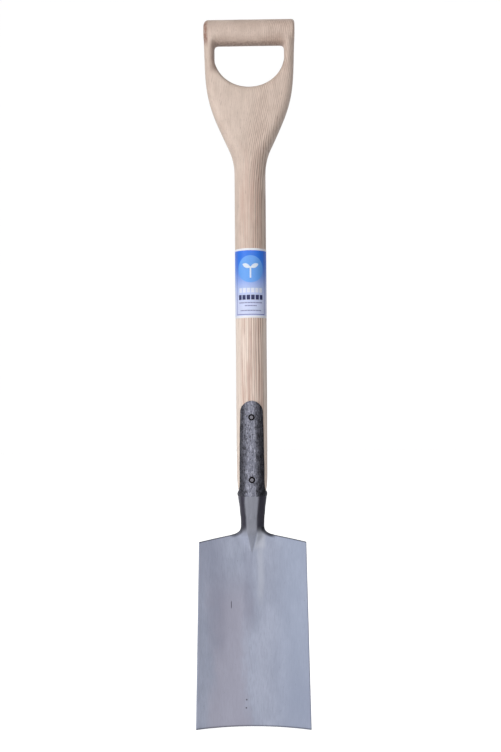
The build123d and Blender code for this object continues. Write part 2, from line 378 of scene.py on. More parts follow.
def cutting_edge(size):
    """Faces that close the flat under the cutting edge, from its front line to its back line."""
    wide = 2 * (RIB_COLUMNS + WING_COLUMNS) - 1
    last = 2 * wide + len(RIM_TURNS) - 1
    front = np.arange(wide)
    back = last - front
    quads = np.stack([front[:-1], back[:-1], back[1:], front[1:]], 1).tolist()
    right = list(range(wide - 1, wide + len(RIM_TURNS) + 1))
    left = list(range(last, size)) + [0]
    return quads + [right[::-1], left[::-1]]


def make_blade():
    """The blade, from its socket down the neck to the cutting edge."""
    outline, facing = silhouette()
    corner = NECK_ROWS + len(NECK_FILLET) + SHOULDER_ROWS - 1
    fan = np.linspace(NECK_FOOT_Z, CORNER_ROW_Z, corner - NECK_ROWS + 2)[1:]
    low = CORNER_ROW_Z * outline[corner + 1:, 1] / CORNER_Z
    middles = np.concatenate([outline[:NECK_ROWS, 1], fan, low])
    rows = [blade_row(edge, way, z) for edge, way, z in zip(outline, facing, middles)]
    turn = np.arctan2(rows[0][:, 1], rows[0][:, 0])
    socket = [
        np.stack([radius * np.cos(turn), radius * np.sin(turn), z + 0 * turn], 1)
        for z, radius in SHAFT_RADII[:2]
    ]
    rows = rows[::-1] + socket[::-1]
    points, faces = loft(rows, [True])
    wave = sum(waves(points, *one) for one in GRINDING_WAVES)
    y, z = points[:, 1], points[:, 2]
    share = (1 - smooth_step(z, *GRINDING_TOP_FADE)) * smooth_step(z, *GRINDING_EDGE_FADE)
    points[:, 1] += wave * share * (y < GRINDING_BACK_Y)
    return make_mesh("forged_blade", points, faces + cutting_edge(len(turn)), sharp=38)


# ------------ straps, rivets and label
STRAP_TOP_HALF = 15.8
STRAP_ARC_Z = STRAP_HIGH[2] - STRAP_TOP_HALF
STRAP_RADII = (  # of its outer face
    (STRAP_LOW[2], 20.1), (308.7, 20.7), (317.7, 22.2), (329.7, 23.3), (342.7, 23.75),
    (STRAP_HIGH[2], 23.75),
)
STRAP_SPREADS = (  # half the angle that the strap covers, in degrees
    (STRAP_LOW[2], 88.6), (306.3, 88), (308.3, 76), (310.7, 62), (314.7, 54.5), (319.7, 50.2),
    (326.7, 48), (391.7, 43.6), (STRAP_ARC_Z, 41.7),
)
STRAP_TIP_SPREAD = 1.2  # at the very tip
STRAP_GAP = 0.03  # between a strap and the wood
STRAP_EDGE_ROUND = 0.9
STRAP_EDGE_MIDDLE = (0.25, 0.3)  # the rounded edge's middle point: share of the rounding across, and in
STRAP_LEAST_INSET = 0.4  # the least share of the spread that stays outside the rounding
STRAP_FACE_COLUMNS, STRAP_BACK_COLUMNS = 41, 9
STRAP_ROWS, STRAP_ARC_ROWS = 96, 20
HAMMER_DEPTH = 0.22
HAMMER_SIZE, HAMMER_FINE_SIZE = (7, 7, 9), (2.6, 2.6, 3.4)
HAMMER_FINE_SEED = 2  # added to the strap's own
STRAPS = {"front_strap": (4.4, 1), "back_strap": (9.2, -1)}  # the seed of its dents, and -1 if it is behind
HAMMERED_RADII, HAMMERED_HEIGHTS = (21.3, 22.6), (312.7, 326.7)  # the dents grow over these
RIVETS = {"upper_rivet": 409.8, "lower_rivet": 326.7}
RIVET_SHANK, RIVET_SINK = 3, 1.4  # the shank's radius, and how deep the heads reach into the straps
RIVET_SEAT = STRAP_RADII[-1][1] - 0.1
RIVET_SEGMENTS = 40
RIVET_BLOW_SIZE, RIVET_BLOW_DEPTH = (2.4, 5, 2.4), 0.16
RIVET_PROFILE = (  # radius and height over the strap, from the rim over a groove to the crown
    (4.3, -RIVET_SINK), (4.3, 0.1), (4.05, 0.5), (3.6, 0.55), (3.25, 0.3), (2.95, 0.05), (2.7, 0.3),
    (2.5, 0.72), (2.1, 0.98), (1.4, 1.1), (0.5, 1.15),
)
LABEL_SPREAD = radians(118)
LABEL_LIFT = 0.12  # of its sides, most of all at the corners
LABEL_LIFT_POWERS, LABEL_SIDE_LIFT = (10, 4), 0.4
LABEL_THICKNESS = 0.10
LABEL_PAPER = 0.8  # the share of that thickness which is paper, over a thin gap
LABEL_RIPPLE_SIZE, LABEL_RIPPLE_SEED, LABEL_RIPPLE = (9, 9, 14), 2.2, 0.03
LABEL_COLUMNS, LABEL_ROWS = 81, 61
PRINT_UNIT = 100  # millimetres in one unit of the print map


def strap_row(z, spread):
    """One closed loop of a strap: across its outer face, and back along the wood."""
    outer = float(curve(z, STRAP_RADII))
    inner = float(curve(z, HALF_WIDTHS)) + STRAP_GAP
    edge = STRAP_EDGE_ROUND
    across, inward = STRAP_EDGE_MIDDLE
    inset = max(spread - edge / outer, spread * STRAP_LEAST_INSET)
    edge_turns = np.array([spread - across * edge / outer, spread, spread])
    edge_radii = np.array([outer - inward * edge, outer - edge, inner])
    face = np.linspace(-inset, inset, STRAP_FACE_COLUMNS)
    back = np.linspace(spread, -spread, STRAP_BACK_COLUMNS + 2)[1:-1]
    around = np.concatenate([face, edge_turns, back, -edge_turns[::-1]])
    radius = np.concatenate([
        np.full(STRAP_FACE_COLUMNS, outer), edge_radii, np.full(STRAP_BACK_COLUMNS, inner), edge_radii[::-1],
    ])
    return round_front(radius, around, z)


def strap_rows():
    """The rows of a strap from its collar up to its round tip."""
    rows = []
    for z in np.linspace(STRAP_LOW[2], STRAP_ARC_Z, STRAP_ROWS):
        rows.append(strap_row(z, radians(float(curve(z, STRAP_SPREADS)))))
    for turn in np.linspace(0, pi / 2, STRAP_ARC_ROWS + 2)[1:-1]:
        z = STRAP_ARC_Z + STRAP_TOP_HALF * sin(turn)
        rows.append(strap_row(z, asin(STRAP_TOP_HALF * cos(turn) / STRAP_RADII[-1][1])))
    rows.append(strap_row(STRAP_HIGH[2], radians(STRAP_TIP_SPREAD)))
    return rows


def make_strap(name, seed, side):
    """A strap with hammer dents on its outer face. The back one is mirrored."""
    points, faces = loft(strap_rows())
    radius = np.hypot(points[:, 0], points[:, 1])
    outer_share = smooth_step(radius, *HAMMERED_RADII) * smooth_step(points[:, 2], *HAMMERED_HEIGHTS)
    dents = waves(points, HAMMER_SIZE, seed, HAMMER_DEPTH)
    dents += waves(points, HAMMER_FINE_SIZE, seed + HAMMER_FINE_SEED, HAMMER_DEPTH / 2)
    grow = 1 + (dents - HAMMER_DEPTH) * outer_share / radius
    points[:, :2] *= grow[:, None]
    points[:, 1] *= side
    if side < 0:
        faces = [face[::-1] for face in faces]
    return make_mesh(name, points, faces, sharp=40)


def make_rivet(name, height):
    """A rivet with a hammered head on each strap and a shank between them."""
    turn = np.linspace(0, 2 * pi, RIVET_SEGMENTS, endpoint=False)
    profile = [(radius, -(RIVET_SEAT + rise)) for radius, rise in reversed(RIVET_PROFILE)]
    profile += [(RIVET_SHANK, -(RIVET_SEAT - RIVET_SINK)), (RIVET_SHANK, RIVET_SEAT - RIVET_SINK)]
    profile += [(radius, RIVET_SEAT + rise) for radius, rise in RIVET_PROFILE]
    rows = [
        np.stack([radius * np.cos(turn), y + 0 * turn, height - radius * np.sin(turn)], 1)
        for radius, y in profile
    ]
    points, faces = loft(rows)
    blows = waves(points, RIVET_BLOW_SIZE, height, RIVET_BLOW_DEPTH)
    points[:, 1] += blows * np.sign(points[:, 1]) * (np.abs(points[:, 1]) > RIVET_SEAT)
    return make_mesh(name, points, faces, sharp=50)


def label_layers():
    """The label's outer and inner faces, row by row, and each point's place on the print."""
    low_z, high_z = LABEL_LOW[2], LABEL_HIGH[2]
    around = np.linspace(-LABEL_SPREAD, LABEL_SPREAD, LABEL_COLUMNS)
    heights = np.linspace(low_z, high_z, LABEL_ROWS)
    turn, z = (grid.ravel() for grid in np.meshgrid(around, heights))
    wood = curve(z, HALF_WIDTHS)
    side_power, end_power = LABEL_LIFT_POWERS
    toward_end = np.abs(2 * (z - low_z) / (high_z - low_z) - 1) ** end_power
    lift = (np.abs(turn) / LABEL_SPREAD) ** side_power
    lift *= LABEL_SIDE_LIFT + (1 - LABEL_SIDE_LIFT) * toward_end
    ripple = waves(round_front(wood, turn, z), LABEL_RIPPLE_SIZE, LABEL_RIPPLE_SEED, LABEL_RIPPLE)
    outer = wood + LABEL_THICKNESS + LABEL_LIFT * lift + ripple
    inner = outer - LABEL_THICKNESS * LABEL_PAPER
    points = np.concatenate([round_front(radius, turn, z) for radius in (outer, inner)])
    return points, np.stack([turn * wood, z - low_z], 1) / PRINT_UNIT


def make_label():
    """The paper label: a thin sheet round the front of the shaft, with a map for its print."""
    points, flat = label_layers()
    layer = LABEL_COLUMNS * LABEL_ROWS
    index = np.arange(layer).reshape(LABEL_ROWS, LABEL_COLUMNS)
    a, b, c, d = index[:-1, :-1], index[:-1, 1:], index[1:, 1:], index[1:, :-1]
    front = np.stack([a, b, c, d], -1).reshape(-1, 4)
    rim = np.concatenate([index[0, :], index[1:, -1], index[-1, -2::-1], index[-2:0:-1, 0]])
    following = np.roll(rim, -1)
    edge = np.stack([rim, rim + layer, following + layer, following], 1)
    faces = np.concatenate([front, front[:, ::-1] + layer, edge])
    piece = make_mesh("paper_label", points, faces, sharp=60)
    print_map = piece.data.uv_layers.new(name="print")
    corners = np.zeros(len(piece.data.loops), np.int32)
    piece.data.loops.foreach_get("vertex_index", corners)
    print_map.data.foreach_set("uv", np.tile(flat, (2, 1))[corners].ravel())
    return piece


# ------------ materials
class Shader:
    """Builds a new material's nodes, or a world's. A step takes sockets or values and returns a socket."""

    def __init__(self, name="", owner=None):
        self.owner = owner or bpy.data.materials.new(name)
        self.owner.use_nodes = True
        self.tree = self.owner.node_tree
        self.tree.nodes.clear()
        self.coordinates = self.node("TexCoord").outputs
        self.place, self.facing = self.coordinates["Object"], self.coordinates["Normal"]

    def node(self, kind, inputs=(), **settings):
        """Adds a node, and links a socket or sets a value on each of its inputs."""
        made = self.tree.nodes.new("ShaderNode" + kind)
        for key, value in settings.items():
            setattr(made, key, value)
        for key, value in dict(inputs).items():
            if isinstance(value, bpy.types.NodeSocket):
                self.tree.links.new(value, made.inputs[key])
            elif value is not None:
                made.inputs[key].default_value = value
        return made

    def math(self, operation, a, b=None, c=None):
        return self.node("Math", {0: a, 1: b, 2: c}, operation=operation).outputs[0]

    def add(self, *values):
        return reduce(lambda a, b: self.math("ADD", a, b), values)

    def times(self, *values):
        return reduce(lambda a, b: self.math("MULTIPLY", a, b), values)

    def most(self, *values):
        return reduce(lambda a, b: self.math("MAXIMUM", a, b), values)

    def away(self, value):
        """How far a value lies from zero."""
        return self.math("ABSOLUTE", value)

    def length(self, u, v):
        return self.math("SQRT", self.add(self.times(u, u), self.times(v, v)))

    def step(self, value, low, high):
        """0 below low, 1 above high, and smooth between them. With low above high it falls instead."""
        inputs = {"Value": value, "From Min": low, "From Max": high}
        return self.node("MapRange", inputs, interpolation_type="SMOOTHSTEP").outputs[0]

    def span(self, value, low, high, soft):
        """1 between low and high, falling to 0 over the soft distance outside them."""
        return self.times(self.step(value, low - soft, low), self.step(value, high + soft, high))

    def patch(self, across, up, sides, ends):
        """1 inside a patch. Its sides and its ends are each given as low, high and soft."""
        return self.times(self.span(across, *sides), self.span(up, *ends))

    def scaled(self, sizes, shift=(0, 0, 0)):
        """Coordinates in which a feature of those sizes, in millimetres, is one unit long on each axis."""
        scale = [1 / (MM * size) for size in sizes]
        inputs = {"Vector": self.place, "Scale": scale, "Location": shift}
        return self.node("Mapping", inputs).outputs[0]

    def noise(self, width, length, detail=3, roughness=0.5, shift=(0, 0, 0)):
        """Smooth noise from 0 to 1, from features that wide and that long up Z. The shift moves it along."""
        vector = self.scaled((width, width, length), shift)
        inputs = {"Vector": vector, "Scale": 1, "Detail": detail, "Roughness": roughness}
        return self.node("TexNoise", inputs).outputs[0]

    def drift(self, reach, width, length, detail=2, roughness=0.5, shift=(0, 0, 0)):
        """Noise in millimetres, up to half the reach either way."""
        return self.times(self.add(self.noise(width, length, detail, roughness, shift), -0.5), reach)

    def mix(self, share, a, b):
        """From the colour a, where the share is 0, to the colour b. Each is a socket or an sRGB triple."""
        a, b = (colour(*ink) if isinstance(ink, tuple) else ink for ink in (a, b))
        return self.node("Mix", {0: share, 6: a, 7: b}, data_type="RGBA").outputs[2]

    def layers(self, tone, *coats):
        """A tone under coats, each with a mask, a colour, and how strongly it covers where the mask is 1."""
        for mask, ink, strength in coats:
            tone = self.mix(self.times(mask, strength), tone, ink)
        return tone

    def shade(self, value, low, high):
        """A value from 0 to 1, laid over the range from low to high."""
        return self.math("MULTIPLY_ADD", value, high - low, low)

    def parts(self, vector):
        return self.node("SeparateXYZ", {0: vector}).outputs[:]

    def millimetres(self):
        """The three coordinates of the place, in millimetres."""
        return self.parts(self.scaled((1, 1, 1)))

    def finish(self, height=None, bump=0, **inputs):
        """Closes the graph. bump is the height of the relief, in millimetres."""
        if height is not None:
            relief = {"Height": height, "Strength": 1, "Distance": bump * MM}
            inputs["Normal"] = self.node("Bump", relief).outputs[0]
        inputs = {key.replace("_", " "): value for key, value in inputs.items()}
        surface = self.node("BsdfPrincipled", inputs).outputs[0]
        self.node("OutputMaterial", {"Surface": surface})
        return self.owner


def colour(red, green, blue):
    """An sRGB colour, from 0 to 255, as the linear value that a shader takes."""
    share = [c / 255 for c in (red, green, blue)]
    return [c / 12.92 if c <= 0.04045 else ((c + 0.055) / 1.055) ** 2.4 for c in share] + [1]


PITH_X, PITH_Y = -120, 22  # the middle of the tree's rings
PITH_SHIFT, PITH_SHIFT_HEIGHTS = -46, (690, 1050)  # what takes it nearer, from the grip's foot up
RING_WIDTH = 2.5
RING_WARPS = (  # the waves in the rings: width, length, detail, roughness and shift, and height in rings
    ((90, 700, 1), 1.8),
    ((14, 400, 2, 0.5, (3, 1, 4)), 0.8),
    ((6, 130, 3, 0.6, (8, 8, 1)), 1.3),
)
LOW_SHAFT = (620, 520)  # the wood is paler below this
GRIP_START = (740, 820)
HEART_SIDES, HEART_TOP = (-10, 12, 6), (800, 700)
GRIME_START = (905, 935)
BAR_FOOT_Z = BAR_Z - BAR_RADIUS
BAR_STAIN = ((-60.2, -57, 2.4), (922, 938, 14))
# where painted shade lies under the crossbar and on the hand hole's wall
UNDER_BAR_SHADE_SIDES = (-44, 44, 6)
HOLE_WALL_SHADE_ENDS = (882, 911, 12)


def ash_material():
    """Ash: annual rings, open pores and fibres, grime and a stain on the grip, and painted shade round the
    crossbar and the hand hole.
    """
    s = Shader("ash")
    x, y, z = s.millimetres()
    shift = s.times(s.step(z, *PITH_SHIFT_HEIGHTS), PITH_SHIFT)
    early = early_wood(s, x, y, shift)
    right = s.step(s.add(x, shift), -22, 4)
    low = s.step(z, *LOW_SHAFT)
    pores = s.noise(0.5, 12, 2, 0.6, shift=(7, 2, 9))
    pores = s.times(s.step(pores, 0.54, 0.70), s.shade(early, 0.15, 1))
    fibres = s.noise(1, 60, 3, 0.6, shift=(1, 8, 3))
    patches = s.noise(16, 30, 4, 0.62, shift=(5, 5, 1))
    rings = s.times(early, rings_seen(s, z, right))
    ragged = s.step(s.noise(1.6, 6, 3, 0.6, shift=(7, 2, 7)), 0.26, 0.54)
    stain = s.times(s.patch(x, z, *BAR_STAIN), ragged)
    tone = s.mix(s.step(patches, 0.3, 0.72), (232, 213, 200), (219, 200, 187))
    tone = s.layers(
        tone,
        (low, (254, 238, 226), 0.80),
        (rings, (158, 125, 110), s.shade(low, 0.88, 0.74)),
        (s.step(fibres, 0.42, 0.66), (184, 158, 143), s.shade(right, 0.20, 0.36)),
        (heart_streaks(s, x, z), (190, 144, 126), s.shade(low, 0.42, 0.60)),
        (pores, (124, 96, 84), 0.45),
        (s.step(z, *GRIME_START), (158, 118, 102), s.shade(patches, 0.02, 0.26)),
        # painted shade along the crossbar's top, under the crossbar and in the hand hole
        (painted_shade_marks(s, x, z), (120, 88, 76), 0.52),
        (stain, (140, 92, 76), 0.80),
    )
    return s.finish(
        s.math("MULTIPLY_ADD", pores, -1, s.times(fibres, 0.35)), bump=0.10, Base_Color=tone,
        Roughness=s.shade(patches, 0.42, 0.56), Coat_Weight=0.12, Coat_Roughness=0.35,
    )


def early_wood(s, x, y, shift):
    """1 in the dark early wood of each annual ring, and 0 in its late wood."""
    radius = s.length(s.add(x, -PITH_X, shift), s.add(y, -PITH_Y))
    rings = s.times(radius, 1 / RING_WIDTH)
    for wave, height in RING_WARPS:
        rings = s.add(rings, s.times(s.noise(*wave), height))
    ring = s.math("FRACT", rings)
    return s.times(s.step(ring, 0, 0.12), s.step(ring, 0.58, 0.22))


def rings_seen(s, z, right):
    """How well the rings show: less on the left and on the grip, and broken up on sideways faces: painted
    light on the shaft's sides.
    """
    seen = s.step(s.noise(30, 300, 2, shift=(6, 2, 7)), 0.30, 0.60)
    seen = s.times(seen, s.shade(right, 0.08, 1), s.shade(s.step(z, *GRIP_START), 1, 0.62))
    # painted light: fainter rings where the surface faces sideways make the shaft's sides lighter
    sideways = s.step(s.away(s.parts(s.facing)[0]), 0.60, 0.95)
    broken = s.step(s.noise(0.8, 40, 3, 0.6, shift=(9, 2, 6)), 0.35, 0.65)
    return s.times(seen, s.math("MULTIPLY_ADD", sideways, s.shade(broken, -0.75, -0.25), 1))


def heart_streaks(s, x, z):
    """1 in the warm streaks down the middle of the shaft."""
    streaks = s.step(s.noise(1.5, 90, 3, 0.6, shift=(4, 6, 2)), 0.46, 0.58)
    return s.times(s.span(x, *HEART_SIDES), s.step(z, *HEART_TOP), streaks)


def painted_shade_marks(s, x, z):
    """Painted shade: a thin line along the crossbar's top, a band under the crossbar, and on the hand hole's
    left inner wall and lower rim.
    """
    ragged = s.step(s.noise(3, 7, 3, 0.6, shift=(2, 7, 7)), 0.30, 0.70)
    # painted shade: a thin dark line along the crossbar's top
    crown = s.times(s.step(z, HANDLE_HIGH[2] - 3, HANDLE_HIGH[2] - 1.2), 0.25)
    # painted shade on the hand hole's left inner wall
    wall = s.times(s.step(x, -56, -48.5), s.step(x, -40, -45), s.span(z, *HOLE_WALL_SHADE_ENDS))
    # painted shade under the crossbar
    up = s.add(z, -BAR_FOOT_Z)
    under = s.times(s.step(up, 14.5, 1.5), s.step(up, -3.5, -0.5), s.span(x, *UNDER_BAR_SHADE_SIDES))
    under = s.times(under, s.shade(s.step(up, 4, 0.5), 0.38, 1.40))
    # painted shade round the hand hole's lower rim
    low = s.times(s.math("MINIMUM", s.add(z, -HOLE_SPRING_Z), 0), 1 / HOLE_BOW)
    level = s.length(low, s.times(x, 1 / HOLE_HALF))
    rim = s.times(s.step(s.times(level, level), 1.10, 1.00), s.step(z, 902, 885), 0.75)
    return s.most(s.times(s.most(crown, under), s.shade(ragged, 0.45, 1)), wall, rim)


WARM_SIDES, WARM_TOP, WARM_WANDER = (-20, 5, 22), (220, 150), 50
NECK_START = (246, 262)
FACET_FOOT_Z, FACET_TAPER = 226, 0.215  # where the facet shows from, and how fast it widens
RIB_SHADOW_ENDS = (230, 252, 8)
# where the painted highlight lies
HIGHLIGHT_SIDES, HIGHLIGHT_ENDS = (0, 13, 8), (238, 252, 12)
STREAK = ((9.5, 11.5, 6.5), (180, 235, 30))
RIM_MIDDLE, RIM_REACH = (SHOULDER_TOP[0], NECK_FOOT_Z), (14.3, 10.2)  # of the ellipse along the fillet
NICK = ((-29.3, -28.9, 0.5), (156, 162, 3))
UPPER_PIT = ((-9.7, -8.8, 0.9), (34.2, 35, 1))
LOWER_PIT = ((-10.3, -9.4, 0.9), (23.7, 24.5, 1))
LEFT_BAND = ((-54, -42, 12), (120, 225, 40))
MIDDLE_BAND = ((-9, -2, 7), (150, 215, 30))
SCALE_END, SCALE_SPREAD = (255, 265), 2.8


def ground_steel_material():
    """Forged steel: bright on the blade and the neck's facet, with dark scale on the neck's flanks."""
    s = Shader("ground_steel")
    x, y, z = s.millimetres()
    front = s.step(s.parts(s.facing)[1], 0.1, -0.1)
    scratches = s.noise(0.8, 60, 4, 0.65, shift=(2, 6, 1))
    hairs = s.noise(0.35, 24, 2, 0.6, shift=(8, 1, 5))
    clouds = s.noise(34, 70, 4, 0.6, shift=(4, 9, 2))
    specks = s.step(s.noise(1.3, 2.2, 2, 0.5, shift=(3, 3, 7)), 0.73, 0.79)
    warm = s.span(s.add(x, s.times(clouds, WARM_WANDER)), *WARM_SIDES)
    flank = s.mix(s.step(x, -8, 10), (78, 75, 88), (112, 108, 126))
    flank = s.mix(s.step(clouds, 0.35, 0.65), flank, (98, 94, 110))
    tone = s.mix(s.step(clouds, 0.3, 0.7), (176, 182, 202), (196, 202, 222))
    tone = s.layers(
        tone,
        (s.step(scratches, 0.4, 0.7), (150, 154, 172), 0.35),
        (s.step(hairs, 0.62, 0.72), (226, 230, 240), 0.25),
        (s.times(warm, s.step(z, *WARM_TOP)), (184, 178, 194), 0.50),
        (s.step(x, 10, 60), (172, 184, 208), 0.50),
        (specks, (70, 66, 72), 0.55),
        (s.times(blemishes(s, x, z), front), (58, 54, 66), 0.85),
        # painted reflection: a dark band down the blade's left, and a darker band near its middle
        (painted_dark_bands(s, x, z), (134, 136, 158), 0.24),
        # painted shade in the blade's upper left and lower right corners
        (shaded_corners(s, x, z), (138, 142, 166), 0.34),
        (s.step(z, *NECK_START), (144, 142, 146), 0.60),
        (scale_left(s, x, y, z), flank, 0.92),
        # painted shade where the neck's facet dies into the plate
        (s.times(rib_foot_shadow(s, x, z), front), (104, 101, 98), 0.34),
        # painted highlight on the right of the facet's foot and in a streak down the blade
        (s.times(highlight_streak(s, x, z), front), (220, 223, 234), 0.60),
        # painted shade along the shoulders' top edges and the cutting edge
        (edge_shade_lines(s, x, z), (72, 72, 84), 0.6),
        # painted shade along the rolled edge from the shoulders into the neck
        (fillet_rim_shade(s, x, z), (46, 44, 54), 0.85),
    )
    return s.finish(
        s.add(scratches, s.times(hairs, 0.5)), bump=0.035, Base_Color=tone, Metallic=1,
        Roughness=s.add(s.shade(clouds, 0.30, 0.44), s.times(scratches, 0.10)), Anisotropic=0.35,
    )


def outside_facet(s, x, z):
    """How far a point lies outside the foot of the neck's facet, which tapers to nothing on the plate."""
    across = s.away(s.add(x, FACET_OFFSET))
    return s.math("MULTIPLY_ADD", s.add(z, -FACET_FOOT_Z), -FACET_TAPER, across)


def rib_foot_shadow(s, x, z):
    """1 in the triangle of painted shade where the neck's facet dies into the plate."""
    return s.times(s.step(outside_facet(s, x, z), 0.8, -0.6), s.span(z, *RIB_SHADOW_ENDS))


def highlight_streak(s, x, z):
    """1 in a painted highlight on the right of the facet's foot, and half that in a painted highlight
    streaking down from it.
    """
    across = s.add(x, s.drift(6, 40, 60, shift=(6, 1, 5)))
    beside = s.step(outside_facet(s, x, z), 0.4, 1.8)
    lighter = s.times(beside, s.patch(across, z, HIGHLIGHT_SIDES, HIGHLIGHT_ENDS))
    return s.most(lighter, s.times(s.patch(across, z, *STREAK), 0.5))


def fillet_rim_shade(s, x, z):
    """Painted shade, 1 along the rolled edge that turns up from the shoulders into the neck, and less on its
    left.
    """
    side = s.away(x)
    across = s.times(s.add(side, -RIM_MIDDLE[0]), 1 / RIM_REACH[0])
    up = s.times(s.add(z, -RIM_MIDDLE[1]), 1 / RIM_REACH[1])
    rim = s.times(s.step(s.length(across, up), 1.46, 1.14), s.step(side, 33, 24), s.step(z, 264, 260))
    return s.times(rim, s.shade(s.step(x, -2, 2), 0.65, 1))


def blemishes(s, x, z):
    """1 in a short nick and two pits on the blade."""
    return s.most(*[s.patch(x, z, *place) for place in (NICK, UPPER_PIT, LOWER_PIT)])


def painted_dark_bands(s, x, z):
    """1 in two darker bands down the blade: on the left a painted reflection of something dark, and one near
    the middle.
    """
    across = s.add(x, s.drift(20, 60, 50, shift=(3, 9, 9)))
    return s.most(s.patch(across, z, *LEFT_BAND), s.patch(across, z, *MIDDLE_BAND))


def shaded_corners(s, x, z):
    """Painted shade: 1 in the blade's upper left corner, and about half that in its lower right one."""
    upper = s.times(s.step(x, -25, -70), s.step(z, 120, 235))
    lower = s.times(s.step(x, 10, 60), s.step(z, 150, 30))
    return s.most(upper, s.times(lower, 0.55))


def scale_left(s, x, y, z):
    """1 where the neck keeps its dark forge scale: beside the ground facet and round the back."""
    ragged = s.drift(3, 5, 9, 3, 0.6, shift=(1, 1, 6))
    spread = s.times(s.step(z, 245, MOUTH_Z), SCALE_SPREAD)
    across = s.add(x, ragged)
    right = s.step(s.math("SUBTRACT", across, spread), 3.5, 8.5)
    left = s.step(s.add(across, spread), -6, -9.2)
    lighter = s.step(s.math("SUBTRACT", s.away(x), spread), 11.8, 14.8)
    sides = s.times(s.most(left, right, s.step(y, -1.5, 3)), s.shade(lighter, 1, 0.55))
    return s.times(sides, s.step(s.add(z, ragged), *SCALE_END))


def edge_shade_lines(s, x, z):
    """Painted shade, 1 along the shoulders' top edges and along the cutting edge."""
    slope = (SHOULDER_FOOT[1] - SHOULDER_TOP[1]) / (SHOULDER_FOOT[0] - SHOULDER_TOP[0])
    rise = SHOULDER_TOP[1] - slope * SHOULDER_TOP[0]
    side = s.away(x)
    over = s.math("MULTIPLY_ADD", side, -slope, s.add(z, -rise))
    return s.most(s.times(s.step(over, -1.8, -0.8), s.step(side, 18, 26)), s.step(z, 2.4, 0.8))


def black_steel_material():
    """Black forge scale: hammered, streaky and mottled, brighter down the middle from wear and a painted
    sheen, and painted shade towards both edges, most on the right.
    """
    s = Shader("black_steel")
    x = s.millimetres()[0]
    scale = s.noise(5, 6.5, 4, 0.65, shift=(2, 1, 3))
    grain = s.noise(1.5, 2.6, 3, 0.6, shift=(6, 4, 8))
    streaks = s.step(s.noise(1.7, 20, 4, 0.65, shift=(9, 5, 2)), 0.50, 0.64)
    flecks = s.step(s.noise(1.5, 3.4, 2, 0.6, shift=(1, 9, 4)), 0.58, 0.68)
    # brighter down the middle: wear, and a painted sheen
    wear_and_sheen = s.times(s.step(s.add(x, s.times(scale, 6)), -10, 1), s.step(x, 7.5, 2))
    tone = s.mix(s.step(scale, 0.36, 0.62), (72, 72, 79), (114, 115, 127))
    tone = s.layers(
        tone,
        (wear_and_sheen, (170, 172, 190), 0.50),
        (streaks, (202, 203, 220), s.shade(wear_and_sheen, 0.25, 0.90)),
        (s.step(grain, 0.52, 0.64), (48, 44, 48), 0.72),
        # painted shade towards the strap's right edge, and below towards its left edge
        (s.step(x, 5.5, 10), (40, 38, 44), 0.45),
        (s.step(x, -8, -13), (44, 42, 48), 0.35),
        (flecks, (212, 214, 230), s.shade(wear_and_sheen, 0.22, 0.60)),
    )
    rough = s.add(s.shade(scale, 0.28, 0.42), s.times(grain, 0.12))
    relief = s.add(scale, s.times(grain, 0.5))
    return s.finish(relief, bump=0.22, Base_Color=tone, Metallic=0.9, Roughness=rough)


RIVET_CROWN = (RIVET_SEAT + 0.6, RIVET_SEAT + 0.9)


def rivet_material():
    """Bright steel rivet heads, painted dark low on their sides as shade round each head."""
    s = Shader("rivet_steel")
    y = s.millimetres()[1]
    blows = s.noise(1.9, 1.9, 3, 0.55, shift=(4, 4, 4))
    bright = s.mix(s.step(blows, 0.3, 0.7), (120, 118, 126), (160, 158, 168))
    # painted shade: dark low on the heads' sides, bright on their crowns
    tone = s.mix(s.step(s.away(y), *RIVET_CROWN), (30, 27, 30), bright)
    return s.finish(blows, bump=0.10, Base_Color=tone, Metallic=0.95, Roughness=s.shade(blows, 0.26, 0.42))


PRINT_GREY = (128, 132, 184)
LABEL_HEIGHT = LABEL_HIGH[2] - LABEL_LOW[2]
FIELD_MARGIN = 2.9
FRAME_HALF, FRAME_INSET, FRAME_LINE = 21.6, 4.6, 0.35
EMBLEM_Z = LABEL_HEIGHT - 27.6
DISC_EDGE = (18.4, 17.8)
STEM_HALF, STEM_FOOT, STEM_TOP = 0.9, -12, 3
LEAF_NEAR, LEAF_FAR, LEAF_EDGE = (3.6, 8.6), (7.6, -0.2), (7.9, 7.4)  # a leaf is where two discs meet
DASHED_ROWS = (  # half width, foot, top, pitch and ink
    (17.2, 33.8, 39.8, 5.75, (232, 238, 255)), (18.2, 24.4, 30.6, 6.10, (34, 40, 92)),
    (17, 19.6, 20.8, 2.1, PRINT_GREY), (8, 15.6, 16.8, 2.1, PRINT_GREY),
    (15, 9.2, 10.4, 2.1, PRINT_GREY),
)


